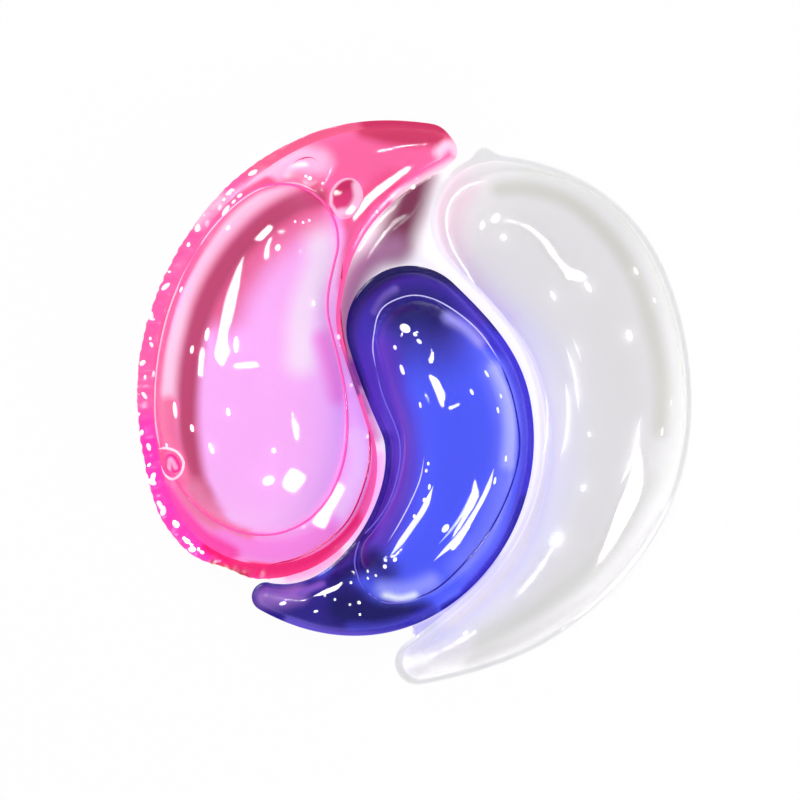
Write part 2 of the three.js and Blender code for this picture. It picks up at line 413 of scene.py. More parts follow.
# Blue strokes: the liquid's colour, with painted shade on the upper left, on the top of the pillow and in the
# tail, and painted highlights as pale lines and patches on the right and at the pillow's lower end
BLUE_DYE_AND_PAINTED_LIGHT = [
    ((58, 24, 158), 17, 7, [
        (376, 470), (372, 430), (366, 395), (361, 362), (360, 335), (368, 310), (388, 290), (412, 284),
        (438, 288), (466, 304), (490, 330),
    ]),
    ((50, 38, 184), 9, 5, [
        (490, 330), (512, 365), (524, 400), (529, 440), (524, 490), (505, 545), (470, 592),
    ]),
    ((10, 0, 80), 9, 5, [
        (500, 323), (470, 290), (440, 273), (411, 267), (385, 275), (361, 298), (350, 330), (351, 360),
        (360, 395),
    ]),
    ((150, 120, 226), 3.5, 3, [(375, 312), (383, 299), (395, 290)]),
    ((104, 112, 247), 11, 12, [(494, 372), (506, 410), (508, 450), (500, 490), (486, 530), (462, 562)]),
    ((60, 54, 176), 32, 28, [(392, 338), (414, 330), (438, 334)]),
    ((12, 2, 96), 20, 20, [(398, 312), (418, 308), (436, 314)]),
    ((140, 136, 226), 5, 6, [(448, 318), (466, 328), (480, 342)]),
    ((78, 50, 176), 15, 13, [(384, 352), (390, 390), (400, 430), (402, 470), (392, 510), (378, 540)]),
    ((36, 0, 140), 9, 5, [(384, 440), (384, 480), (371, 520), (358, 548)]),
    ((44, 40, 150), 14, 12, [(370, 558), (384, 570)]),
    ((38, 20, 136), 30, 8, [(256, 604), (300, 603), (340, 608)]),
    ((8, 0, 100), 18, 10, [(346, 606), (376, 616), (420, 618)]),
    ((18, 0, 104), 10, 8, [(336, 577), (352, 569), (372, 558)]),
    ((50, 44, 176), 6, 6, [(352, 628), (382, 628), (410, 621), (430, 611)]),
    ((40, 10, 118), 8, 5, [(338, 562), (352, 548), (362, 532)]),
    ((104, 84, 206), 4, 4, [(288, 621), (330, 633), (375, 636), (412, 630)]),
    ((144, 100, 190), 8, 9, [(264, 598), (282, 598), (298, 594)]),
    ((120, 84, 188), 3, 3, [(300, 593), (312, 588), (322, 584)]),
    ((30, 22, 150), 5, 3, [(524, 500), (508, 545), (480, 585), (445, 608)]),
    ((134, 140, 252), 8, 8, [(384, 588), (408, 588), (430, 580)]),
    ((222, 228, 255), 3, 4, [(386, 594), (400, 597), (414, 594)]),
    ((154, 160, 250), 6, 7, [(494, 370), (505, 398), (509, 430), (507, 462)]),
]
WHITE_GROUND = (222, 220, 223)
# White strokes: painted light on a plain white liquid: painted shade inside the rims and along the bottom, a
# painted highlight on the tail, painted tints of light reflected from the chambers beside it, and a warmer
# tone that offsets blue light reflected from the blue chamber
WHITE_PAINTED_SHADE_AND_LIGHT = [
    ((220, 210, 217), 16, 13, [(462, 190), (448, 215), (448, 245), (466, 282), (502, 322)]),
    ((236, 230, 214), 14, 12, [
        (512, 340), (538, 378), (550, 420), (547, 470), (528, 530), (494, 585), (454, 615),
    ]),
    ((203, 202, 198), 8, 9, [
        (498, 190), (532, 190), (570, 204), (606, 236), (632, 276), (651, 330), (660, 382), (658, 430),
    ]),
    ((212, 211, 211), 10, 11, [(650, 480), (600, 556), (548, 600), (480, 640)]),
    ((214, 215, 213), 9, 6, [
        (530, 168), (575, 180), (620, 214), (655, 264), (678, 330), (685, 390), (681, 440), (668, 492),
    ]),
    ((198, 196, 198), 7, 6, [(662, 515), (612, 580), (540, 632), (470, 662)]),
    ((222, 219, 226), 14, 8, [(404, 664), (430, 655), (455, 644)]),
    ((250, 249, 252), 5, 5, [(408, 662), (424, 658)]),
]


def colour_with_painted_light(xy, ground, strokes):
    """Linear colour of the liquid at each point, painted shade, highlights and reflections included."""
    colour = np.tile(linear(*ground), (len(xy), 1))
    # The strokes lay liquid colour, painted shade, painted highlights and painted reflections over the ground
    for shade, half, soft, pixels in strokes:
        away = distance(xy, smooth_line(from_pixels(pixels))) / PIXEL
        share = 1 - ease(half - soft, half + soft, away)
        colour += share[:, None] * (linear(*shade) - colour)
    return colour


# Materials
# Painted glow: each liquid sends out light in its own colour, standing in for light that comes up through the
# clear liquid, as a share of that colour
PAINTED_GLOW = 0.46
LIQUID_ROUGHNESS = (0.06, 0.16)
LIQUID_COAT = 0.42
LIQUID_COAT_ROUGHNESS = 0.02
FILM_ROUGHNESS = 0.08
FILM_COAT = 0.154
FILM_COAT_ROUGHNESS = 0.03
AIR_ROUGHNESS = 0.1
COAT_IOR = 1.36
# Ripples in the liquid's sheen, to the metre
RIPPLE_SCALE = 160
RIPPLE_DETAIL = 2
# How far red, green and blue light spread in each liquid
SOFTNESS = {"pink": (1.2, 1.0, 1.2), "blue": (0.6, 0.6, 0.9), "white": (3.0, 3.0, 3.0)}


def node_material(name):
    material = bpy.data.materials.new(name)
    material.use_nodes = True
    nodes = material.node_tree.nodes
    return material, nodes, material.node_tree.links, nodes["Principled BSDF"]


def set_inputs(shader, values):
    for name, value in values.items():
        shader.inputs[name].default_value = value


def painted_light_material(name):
    """A material that takes its colour, painted light included, from its points, and glows in that colour as
    painted light standing in for light that comes through it.
    """
    material, nodes, links, shader = node_material(name)
    dye_and_painted_light = nodes.new("ShaderNodeAttribute")
    dye_and_painted_light.attribute_name = "dye_and_painted_light"
    links.new(dye_and_painted_light.outputs["Color"], shader.inputs["Base Color"])
    # Painted glow: emission in the surface's own colour
    links.new(dye_and_painted_light.outputs["Color"], shader.inputs["Emission Color"])
    set_inputs(shader, {"Emission Strength": PAINTED_GLOW, "Specular IOR Level": 0.0, "Coat IOR": COAT_IOR})
    return material, nodes, links, shader


def liquid_material(name, softness=None):
    """Liquid under glossy film: a body colour with its painted light and painted glow, soft if light spreads
    in it, with a clear hard gloss.
    """
    material, nodes, links, shader = painted_light_material(name)
    ripple = nodes.new("ShaderNodeTexNoise")
    set_inputs(ripple, {"Scale": RIPPLE_SCALE, "Detail": RIPPLE_DETAIL})
    spread = nodes.new("ShaderNodeMapRange")
    set_inputs(spread, {"To Min": LIQUID_ROUGHNESS[0], "To Max": LIQUID_ROUGHNESS[1]})
    links.new(ripple.outputs["Fac"], spread.inputs["Value"])
    links.new(spread.outputs["Result"], shader.inputs["Roughness"])
    set_inputs(shader, {"Coat Weight": LIQUID_COAT, "Coat Roughness": LIQUID_COAT_ROUGHNESS})
    if softness:
        set_inputs(shader, {"Subsurface Weight": 1.0, "Subsurface Radius": softness, "Subsurface Scale": MM})
    return material


def film_material():
    """Clear film: a thin gloss, milky where the two films lie together, coloured from its points with tints,
    painted reflections, painted shade and a painted glow.
    """
    material, nodes, links, shader = painted_light_material("clear_film")
    haze = nodes.new("ShaderNodeAttribute")
    haze.attribute_name = "haze"
    links.new(haze.outputs["Fac"], shader.inputs["Alpha"])
    set_inputs(shader, {
        "Roughness": FILM_ROUGHNESS, "Coat Weight": FILM_COAT, "Coat Roughness": FILM_COAT_ROUGHNESS,
    })
    return material


def glinting_air_material():
    """Air painted white as glints, with a painted glow like the liquid round it, under a full gloss."""
    material, _, _, shader = node_material("glinting_air")
    white = (1, 1, 1, 1)
    set_inputs(shader, {
        "Base Color": white, "Emission Color": white, "Emission Strength": PAINTED_GLOW,
        "Roughness": AIR_ROUGHNESS, "Coat Weight": 1.0,
    })
    return material


# Liquids
def liquid_piece(name, ground, strokes):
    chamber = CHAMBERS[name]
    grow = -LIQUID_GAP
    lines = section_lines(chamber["edge_curve"], grow)
    top = draped_grid(lines, lambda xy: top_height(chamber, xy, grow), LIQUID_POINTS)
    bottom = draped_grid(lines, lambda xy: bottom_height(chamber, xy, grow), LIQUID_POINTS)
    top[:, [0, -1], 2] = 0
    points, faces = closed_body(top, bottom)
    colours = colour_with_painted_light(points[:, :2], ground, strokes)
    material = liquid_material(name + "_liquid", SOFTNESS[name])
    piece = mesh_piece(name + "_liquid_body", points, faces, material, colours)
    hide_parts(name + "_liquid")


liquid_piece("pink", PINK_GROUND, PINK_DYE_AND_PAINTED_LIGHT)
liquid_piece("blue", BLUE_GROUND, BLUE_DYE_AND_PAINTED_LIGHT)
liquid_piece("white", WHITE_GROUND, WHITE_PAINTED_SHADE_AND_LIGHT)


# Films
# Colour of each seal: a ground and strokes that give the film's tint together with painted shade, painted
# highlights and painted reflected colour
FLANGE_DYE_AND_PAINTED_LIGHT = {
    "pink": ((250, 100, 172), [
        ((252, 62, 186), 26, 18, [(150, 440), (168, 500), (205, 545), (240, 566)]),
        ((240, 44, 122), 12, 6, [(235, 566), (300, 564), (350, 520)]),
        ((250, 184, 216), 6, 6, [(198, 222), (210, 210), (222, 199)]),
        ((236, 96, 142), 24, 14, [(262, 160), (340, 122), (445, 124)]),
        ((206, 54, 102), 12, 6, [(372, 122), (400, 121), (440, 124)]),
        ((253, 205, 232), 5, 4, [(438, 153), (450, 145), (458, 154)]),
        ((251, 190, 230), 7, 6, [(236, 199), (252, 188), (268, 177)]),
        ((150, 70, 150), 4, 3, [(350, 352), (352, 374), (357, 392)]),
        ((196, 8, 78), 5, 3, [(184, 508), (197, 524)]),
        ((255, 26, 122), 6, 4, [(208, 547), (226, 557)]),
        ((200, 22, 74), 3, 2, [(212, 562), (246, 576)]),
        ((247, 206, 226), 5, 4, [(396, 198), (412, 187), (432, 175), (452, 163)]),
    ]),
    "blue": (BLUE_GROUND, BLUE_DYE_AND_PAINTED_LIGHT + [
        ((246, 243, 250), 5, 2, [(420, 261), (445, 267), (468, 283), (492, 308)]),
    ]),
    "white": ((221, 221, 223), [
        ((236, 233, 242), 14, 8, [
            (462, 190), (446, 225), (470, 285), (520, 350), (540, 430), (520, 530), (450, 615),
        ]),
    ]),
}
WEB_GROUND = (247, 245, 250)
# Strokes on the web: painted reflections of the liquids beside it and painted shade in the hollows between
# the chambers
WEB_PAINTED_REFLECTIONS_AND_SHADE = [
    ((238, 235, 250), 10, 9, [(470, 278), (512, 325), (536, 385), (543, 435), (530, 505), (500, 565)]),
    ((122, 58, 86), 18, 14, [(416, 178), (409, 204), (400, 228), (396, 242)]),
    ((198, 190, 238), 9, 9, [(500, 566), (474, 590), (448, 606)]),
    ((160, 112, 150), 13, 12, [(394, 248), (374, 258), (357, 276), (347, 305), (347, 335), (352, 362)]),
    ((196, 190, 234), 9, 5, [(396, 636), (416, 633), (440, 622)]),
    ((126, 56, 150), 7, 6, [(353, 366), (359, 384)]),
    ((174, 86, 170), 7, 9, [(362, 396), (367, 412)]),
    ((208, 126, 194), 7, 9, [(371, 424), (374, 436)]),
    ((250, 192, 244), 8, 8, [(378, 458), (377, 482), (366, 510), (350, 534)]),
    ((252, 178, 224), 8, 6, [(336, 552), (312, 568), (290, 574)]),
]
FILM_HAZE = 0.01
FLANGE_HAZE = 0.95
RIM_POINTS = 700
RIM_ACROSS = 8
# The seal crinkles towards the left: its height for each chamber, and the x where it starts and is full
CRINKLE = {"pink": 0.3, "blue": 0.03, "white": 0.03}
CRINKLE_START = -10
CRINKLE_FULL = -18
# Waves along the crinkled edge, each a length and a strength, and how far they push the edge out
CRINKLE_WAVES = [(0.9, 0.6), (1.5, 0.9), (2.6, 1.0)]
EDGE_WAVE = 0.4
RUFFLE_ANGLE = math.radians(135)
# Lips where the film was cut: place in pixels, length and spread
NUBS = {
    "pink": [((456, 152), 0.5, 1.0), ((222, 574), -0.5, 1.8)],
    "blue": [],
    "white": [((484, 158), 0.8, 0.9)],
}
# Web between the chambers: its start along the blue spine, and its rise, step, fillet, fade and tuck
WEB_START_ON_BLUE = 0.7
WEB_RISE = 0.6
WEB_STEP = 0.06
WEB_FILLET = 0.9
WEB_FADE = 0.6
WEB_TUCK = 0.5
FLANGE_RISE = 0.6
FLANGE_TUCK = 0.3
SEED = 7
random = np.random.default_rng(SEED)


def pocket_patch(chamber, height, upward):
    """The part of a film that lies over or under a chamber."""
    lines = section_lines(chamber["edge_curve"], FILM_THICKNESS)
    grid = draped_grid(lines, lambda xy: height(chamber, xy, FILM_THICKNESS), FILM_POINTS)
    rows, columns = grid.shape[:2]
    points = grid.reshape(-1, 3)
    faces = grid_faces(rows, columns, lambda j, m: j * columns + m, upward)
    return points, faces, np.ones((len(points), 3)), np.full(len(points), FILM_HAZE)


def rim_pair(chamber):
    """Matching points all round the chamber's edge and its seal's, and how far along the seal they are."""
    sides = (section_lines(chamber["edge_curve"], -FLANGE_TUCK), section_lines(chamber["seal_curve"], 0.0))
    pair = [np.vstack([right, left[::-1], right[:1]]) for right, left in sides]
    along = np.concatenate([[0], np.linalg.norm(np.diff(pair[1], axis=0), axis=1).cumsum()])
    stops = np.linspace(0, along[-1], RIM_POINTS)
    inner, outer = (
        np.stack([np.interp(stops, along, edge[:, axis]) for axis in range(2)], 1) for edge in pair
    )
    return inner, outer, stops


def crinkle(stops):
    """Waves of a few lengths along the rim, the same at both ends."""
    total = np.zeros_like(stops)
    for length, strength in CRINKLE_WAVES:
        turns = round(stops[-1] / length)
        phase = random.uniform(0, math.tau)
        total += strength * np.sin(math.tau * turns * stops / stops[-1] + phase)
    return total / len(CRINKLE_WAVES)


def flange_patch(name, level, rise, upward):
    """The flat seal around a chamber, crinkled where the film has shrunk."""
    chamber = CHAMBERS[name]
    inner, outer, stops = rim_pair(chamber)
    slack = CRINKLE[name] * ease(CRINKLE_START, CRINKLE_FULL, outer[:, 0])
    ruffle = slack * crinkle(stops)
    push = EDGE_WAVE * ruffle
    for spot, length, spread in NUBS[name]:
        away = np.linalg.norm(outer - from_pixels([spot]), axis=1)
        push += length * np.exp(-(away / spread) ** 2)
    outward = outer - inner
    outer = outer + outward / np.linalg.norm(outward, axis=1)[:, None] * push[:, None]
    across = np.linspace(0, 1, RIM_ACROSS)
    xy = inner[:, None, :] + (outer - inner)[:, None, :] * across[None, :, None]
    z = level + rise * (1 - across[None, :]) ** 2
    z = z + ruffle[:, None] * np.sin(across * RUFFLE_ANGLE)[None, :] + slack[:, None] * across[None, :]
    points = np.concatenate([xy, z[..., None]], 2).reshape(-1, 3)
    faces = grid_faces(RIM_POINTS, RIM_ACROSS, lambda j, m: j * RIM_ACROSS + m, upward)
    # The seal's colour, with its painted shade and highlights
    dye_and_painted_light = colour_with_painted_light(points[:, :2], *FLANGE_DYE_AND_PAINTED_LIGHT[name])
    return points, faces, dye_and_painted_light, np.full(len(points), FLANGE_HAZE)


def inside(xy, corners):
    """Which points lie inside a closed outline."""
    odd = np.zeros(len(xy), bool)
    x, y = xy.T
    for (ax, ay), (bx, by) in zip(corners, np.roll(corners, -1, axis=0)):
        if ay == by:
            continue
        crosses = (ay > y) != (by > y)
        odd ^= crosses & (x < ax + (y - ay) / (by - ay) * (bx - ax))
    return odd


def web_patch(level, rise, upward):
    """The film between the chambers, drawn up a little where it meets them."""
    blue_tail = BLUE["seal_curve"][round(WEB_START_ON_BLUE * SPINE_SAMPLES):]
    corners = np.vstack([c[:, :2] for c in (PINK["seal_curve"], WHITE["seal_curve"], blue_tail)])
    low, high = corners.min(0), corners.max(0)
    xs = np.arange(low[0], high[0], WEB_PITCH)
    ys = np.arange(low[1], high[1], WEB_PITCH)
    grid = np.stack(np.meshgrid(xs, ys, indexing="ij"), 2)
    xy = grid.reshape(-1, 2)
    kept = inside(xy, corners)
    swell = np.ones(len(xy))
    for chamber in CHAMBERS.values():
        edge, half = reach(xy, chamber["seal_curve"])
        away = (edge - 1) * half
        kept &= away > -WEB_TUCK
        swell = np.minimum(swell, 1 - np.exp(-(np.maximum(away, 0) / WEB_FILLET) ** 2))
    z = level + rise * swell
    numbers = np.where(kept, kept.cumsum() - 1, -1).reshape(grid.shape[:2])
    faces = grid_faces(len(xs), len(ys), lambda j, m: numbers[j, m], upward)
    faces = [face for face in faces if min(face) >= 0]
    points = np.column_stack([xy, z])[kept]
    closed = np.vstack([corners, corners[:1]])
    spine_ends = (SPINE_SAMPLES - 1, 2 * SPINE_SAMPLES - 1, -2)
    gaps = [smooth_line([closed[i], closed[i + 1]]) for i in spine_ends]
    border = np.min([distance(points[:, :2], gap) for gap in gaps], axis=0)
    haze = FLANGE_HAZE * ease(0, WEB_FADE, border)
    # The web's colour is painted reflection and shade
    return points, faces, colour_with_painted_light(points[:, :2], WEB_GROUND, WEB_PAINTED_REFLECTIONS_AND_SHADE), haze


def film_piece(name, node, patches, material):
    """One film from its patches."""
    points, faces = joined([patch[:2] for patch in patches])
    dye_and_painted_light = np.vstack([patch[2] for patch in patches])
    haze = np.concatenate([patch[3] for patch in patches])
    piece = mesh_piece(name, points, faces, material, dye_and_painted_light, haze)
    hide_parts(node)


film = film_material()
film_piece("top_film", "formed_film", [
    *[pocket_patch(chamber, top_height, True) for chamber in CHAMBERS.values()],
    *[flange_patch(name, FILM_THICKNESS, FLANGE_RISE, True) for name in CHAMBERS],
    web_patch(FILM_THICKNESS - WEB_STEP, WEB_RISE, True),
], film)
film_piece("under_film", "lid_film", [
    *[pocket_patch(chamber, bottom_height, False) for chamber in CHAMBERS.values()],
    *[flange_patch(name, -FILM_THICKNESS, 0.0, False) for name in CHAMBERS],
    web_patch(-FILM_THICKNESS, 0.0, False),
], film)


# Air bubbles, white as painted glints: x, y, half length across and along in pixels, and lean in degrees
PINK_DOTS = [
    (194, 350, 2.2, 4.3, 5), (209, 335, 2.5, 7, 5), (238, 345, 2.8, 8.5, 0), (177, 410, 2.7, 8.6, -4),
    (194, 428, 2.2, 4, -4), (230, 412, 2.1, 4.3, -4), (213, 448, 2.4, 6, -15), (275, 450, 2.4, 2.8, 0),
    (270, 480, 4.8, 6.6, 60), (154, 374, 2.1, 3.3, 0), (168, 445, 2, 2.2, 0), (240, 196, 2.4, 3.2, 60),
    (234, 202, 2, 2.8, 30), (226, 211, 2.8, 6.5, 25), (229, 229, 2.3, 3, 15), (182, 290, 2.2, 3.4, 15),
    (279, 249, 2.5, 3.6, 20), (315, 304, 2.3, 3, 0), (296, 223, 1.1, 1.2, 0), (304, 224, 1.3, 1.4, 0),
    (339, 328, 1.9, 2.0, 0), (339, 337, 2.5, 2.8, 0), (340, 346, 0.9, 1.0, 0), (340, 302, 0.9, 1.0, 0),
    (352, 385, 1.8, 2.0, 0), (368, 436, 1.7, 2.2, 0), (310, 222, 1.5, 1.6, 0), (306, 177, 1.3, 1.4, 0),
    (310, 179, 1.8, 2.2, 60), (323, 184, 1.6, 1.7, 0),
]
BLUE_DOTS = [
    (405, 329, 4.4, 6.3, -55), (415, 335, 1.9, 2.4, -50), (419, 342, 1.9, 3.2, -45),
    (395, 348, 2, 2.5, -20), (402, 370, 2.3, 5.5, -20), (420, 405, 1.4, 3, -15), (471, 392, 1.7, 3.4, -20),
    (486, 374, 1.7, 4, -20), (500, 396, 1.4, 2.5, -10), (497, 410, 1.6, 3.2, -8), (505, 458, 1.5, 3.2, 5),
    (428, 463, 1.4, 2, 0), (426, 470, 1.6, 2, 0), (429, 486, 1.5, 3, 10), (424, 499, 1.8, 2.4, 20),
    (414, 515, 1.5, 2, 20), (445, 527, 3, 5, 35), (494, 480, 1.6, 4, 10), (385, 565, 2.1, 2.2, 0),
    (395, 558, 1.8, 2.6, 30), (386, 559, 1.4, 1.5, 0), (368, 570, 1.6, 1.7, 0), (376, 574, 1.5, 1.5, 0),
    (368, 577, 1.5, 1.6, 0), (351, 582, 1.4, 1.5, 0), (325, 595, 1.3, 1.4, 0), (335, 599, 1.2, 1.3, 0),
    (350, 604, 1.3, 1.3, 0), (359, 602, 1.7, 1.8, 0), (360, 614, 1.2, 1.3, 0), (283, 603, 1.8, 3.6, 75),
    (316, 611, 1.2, 2.4, 75),
]
WHITE_DOTS = [
    (502, 239, 3, 3.4, 40), (551, 297, 2, 5, -25), (586, 288, 2.6, 6, -25), (634, 272, 2.3, 4.2, -25),
    (653, 301, 1.4, 2.8, -20), (627, 336, 3.1, 5.8, -18), (669, 403, 1.2, 3, 0), (587, 434, 1.8, 2.8, 10),
    (581, 487, 3, 3.5, 30), (553, 538, 6, 8.2, 50), (465, 631, 1.5, 2.7, 65), (660, 431, 1.4, 4, 5),
]
WEB_DOTS = [
    (413, 187, 2.2, 2.8, 45), (410, 218, 1.1, 1.2, 0), (407, 234, 1.2, 1.5, 0), (377, 212, 1.1, 1.5, 0),
]
SEAL_DOTS = [
    (159, 503, 3, 7, -30), (176, 523, 4, 6, -30), (188, 541, 5, 7, -55), (152, 482, 3, 5, -60),
    (139, 389, 1.5, 6, 0),
]
DOT_SIDES = 14
DOT_RINGS = 8
# Depth of a bubble, as a share of its half length across
DOT_DEPTH = 0.6
BUBBLE_DEPTH = 0.45
SEAL_DOT_HEIGHT = 2.2 * FILM_THICKNESS
SLOPE_STEP = 0.05
# Scattered blisters along the crinkled seal, white as painted glints on the crinkles: the pixels that they
# follow, and how much they vary
FLECK_COUNT = 26
FLECK_ARC = [
    (262, 168), (225, 198), (190, 238), (163, 290), (147, 345), (142, 400), (146, 450), (160, 500),
    (190, 542), (222, 560),
]
FLECK_END = 4
FLECK_SLIP = 2
FLECK_LEAN = 35
FLECK_STRAY = 4
FLECK_ACROSS = (1.6, 3.6)
FLECK_ALONG = (3.0, 9.0)


def ball(sides, rings):
    """Points and faces of a unit sphere."""
    tilt = np.linspace(0, math.pi, rings + 1)
    turn = np.linspace(0, math.tau, sides, endpoint=False)
    x = np.outer(np.sin(tilt), np.cos(turn))
    y = np.outer(np.sin(tilt), np.sin(turn))
    z = np.outer(np.cos(tilt), np.ones(sides))
    points = np.stack([x, y, z], 2).reshape(-1, 3)
    faces = [
        [j * sides + i, (j + 1) * sides + i, (j + 1) * sides + (i + 1) % sides, j * sides + (i + 1) % sides]
        for j in range(rings) for i in range(sides)
    ]
    return points, faces


def lying(spot, lean, height):
    """A place on a surface, and the directions across, along and out of it for something that leans there."""
    centre = from_pixels([spot])[0]
    near = centre + np.array([(0, 0), (SLOPE_STEP, 0), (0, SLOPE_STEP)])
    z, z_x, z_y = height(near)
    up = np.array([-(z_x - z) / SLOPE_STEP, -(z_y - z) / SLOPE_STEP, 1])
    up /= np.linalg.norm(up)
    angle = math.radians(lean)
    ahead = np.array([math.sin(angle), math.cos(angle), 0])
    ahead -= up * (ahead @ up)
    ahead /= np.linalg.norm(ahead)
    return np.array([*centre, z]), np.array([np.cross(ahead, up), ahead, up])


def blisters(spots, height):
    """Flattened bubbles lying on a surface."""
    unit, faces = ball(DOT_SIDES, DOT_RINGS)
    parts = []
    for x, y, across, along, lean in spots:
        place, axes = lying((x, y), lean, height)
        radii = np.array([across, along, across * DOT_DEPTH]) * PIXEL
        parts.append((place + (unit * radii) @ axes, faces))
    return joined(parts)


def level_skin(z):
    return lambda xy: np.full(len(xy), z)


def outer_skin(chamber):
    return lambda xy: top_height(chamber, xy, FILM_THICKNESS)


def flecks():
    """Seeded scatter of blisters along the crinkled seal."""
    arc = smooth_line(FLECK_ARC)
    picks = np.linspace(FLECK_END, len(arc) - 1 - FLECK_END, FLECK_COUNT)
    picks = picks + random.uniform(-FLECK_SLIP, FLECK_SLIP, FLECK_COUNT)
    spots = []
    for pick in picks.astype(int):
        step = arc[pick + 1] - arc[pick - 1]
        lean = math.degrees(math.atan2(step[0], -step[1])) + random.uniform(-FLECK_LEAN, FLECK_LEAN)
        x, y = arc[pick] + random.uniform(-FLECK_STRAY, FLECK_STRAY, 2)
        spots.append((x, y, random.uniform(*FLECK_ACROSS), random.uniform(*FLECK_ALONG), lean))
    return spots


# Bubbles and seal blisters: bubble shapes drawn white and glowing as painted glints
glinting_air = glinting_air_material()
for name, dots in (("pink", PINK_DOTS), ("blue", BLUE_DOTS), ("white", WHITE_DOTS)):
    mesh_piece(name + "_air", *blisters(dots, outer_skin(CHAMBERS[name])), glinting_air)
mesh_piece("seal_blisters", *blisters(flecks() + SEAL_DOTS, level_skin(SEAL_DOT_HEIGHT)), glinting_air)
mesh_piece("web_air", *blisters(WEB_DOTS, level_skin(WEB_RISE)), glinting_air)


# Large bubbles under the pink film: laid out as the small ones are, and coloured as the liquids are, with
# painted shade and painted highlights on them
BUBBLE_SIDES = 64
BUBBLE_RINGS = 32
TAIL_BUBBLE = (346, 199, 17, 21, 20)
TAIL_BUBBLE_GROUND = (216, 58, 120)
# Painted shade on the tail bubble's upper side, and painted highlights in a crescent and round its rim
TAIL_BUBBLE_PAINTED_LIGHT = [
    ((200, 44, 100), 9, 5, [(336, 188), (350, 180)]),
    ((252, 190, 224), 4.5, 3, [(340, 214), (351, 211), (358, 199), (357, 186)]),
    ((252, 190, 225), 1.8, 1.2, [
        (331, 205), (332, 192), (341, 181), (353, 179), (361, 188), (362, 202), (354, 216), (342, 219),
        (331, 205),
    ]),
]
EDGE_BUBBLE = (174, 463, 13, 10, 0)
EDGE_BUBBLE_GROUND = (250, 50, 156)
# A painted highlight round part of the edge bubble's rim
EDGE_BUBBLE_PAINTED_HIGHLIGHT = [
    ((255, 170, 216), 2.0, 1.6, [(170, 470), (172, 459), (177, 467)]),
]


def large_bubble(name, spot, ground, strokes, material):
    x, y, across, along, lean = spot
    unit, faces = ball(BUBBLE_SIDES, BUBBLE_RINGS)
    place, axes = lying((x, y), lean, outer_skin(PINK))
    radii = np.array([across, along, across * BUBBLE_DEPTH]) * PIXEL
    points = place + (unit * radii) @ axes
    mesh_piece(name, points, faces, material, colour_with_painted_light(points[:, :2], ground, strokes))


bubble_wall = liquid_material("bubble_wall")
large_bubble("tail_bubble", TAIL_BUBBLE, TAIL_BUBBLE_GROUND, TAIL_BUBBLE_PAINTED_LIGHT, bubble_wall)
large_bubble("edge_bubble", EDGE_BUBBLE, EDGE_BUBBLE_GROUND, EDGE_BUBBLE_PAINTED_HIGHLIGHT, bubble_wall)


# Creases: fine welts in the film, each a chamber, a display colour, a radius and the pixels that it follows.
# The welts are drawn; their white and pale colours are painted highlights and their dark colours painted
# shade
CREASE_SIDES = 8
# Length over which a crease runs out at its ends, and the share of its width that is left there
CREASE_TAPER = 1.6
CREASE_TIP = 0.06
# The pink pillow's foot has a crease as far out as this share of the way to the chamber's edge
FOOT_REACH = 0.93
FOOT_CREASE = ("pink", (238, 96, 176), 0.11)
CREASES_AND_PAINTED_HIGHLIGHTS = [
    ("pink", (252, 196, 228), 0.08, [
        (318, 193), (296, 184), (268, 187), (243, 200), (218, 223), (196, 253), (177, 290), (164, 330),
        (157, 375), (156, 420), (161, 452),
    ]),
    ("pink", (196, 30, 98), 0.08, [
        (343, 262), (340, 300), (344, 340), (355, 385), (366, 415), (370, 445), (367, 475), (352, 514),
        (330, 539), (300, 557), (268, 565),
    ]),
    ("pink", (198, 50, 104), 0.08, [(291, 166), (300, 160), (311, 158), (318, 162)]),
    ("pink", (255, 226, 244), 0.12, [
        (158, 449), (168, 448), (179, 452), (185, 462), (182, 473), (173, 479), (165, 474), (161, 465),
    ]),
    ("blue", (206, 198, 253), 0.06, [
        (376, 369), (373, 350), (374, 335), (378, 316), (388, 304), (410, 296), (432, 299), (456, 312),
        (480, 333), (500, 362),
    ]),
    ("blue", (34, 30, 150), 0.08, [
        (500, 362), (512, 396), (519, 434), (517, 464), (504, 502), (485, 536), (461, 565), (437, 587),
        (412, 599),
    ]),
    ("blue", (122, 104, 220), 0.06, [
        (412, 599), (386, 602), (366, 590), (357, 573), (355, 558), (361, 539), (378, 519), (391, 497),
        (399, 468), (400, 444), (395, 425), (383, 396), (376, 369),
    ]),
    ("blue", (226, 222, 255), 0.05, [(424, 456), (420, 478), (411, 500), (399, 523), (388, 541)]),
    ("blue", (255, 255, 255), 0.26, [(433, 485), (424, 507), (412, 525), (400, 542), (390, 555)]),
    ("blue", (255, 255, 255), 0.2, [(493, 468), (486, 489), (473, 513), (456, 537), (434, 559)]),
    ("blue", (190, 200, 255), 0.12, [(471, 491), (462, 511), (451, 528), (438, 543)]),
    ("white", (254, 254, 255), 0.09, [
        (486, 181), (464, 188), (450, 203), (446, 224), (452, 248), (466, 272), (484, 300), (500, 318),
    ]),
    ("white", (254, 254, 255), 0.06, [(545, 392), (547, 418), (545, 444), (539, 474)]),
    ("white", (254, 254, 255), 0.12, [(570, 337), (575, 350), (580, 364)]),
    ("white", (254, 254, 255), 0.12, [(564, 347), (572, 374), (577, 412)]),
    ("white", (254, 254, 255), 0.12, [(564, 382), (566, 409), (564, 436), (559, 458)]),
    ("white", (254, 254, 255), 0.14, [(638, 416), (632, 452), (618, 484)]),
]


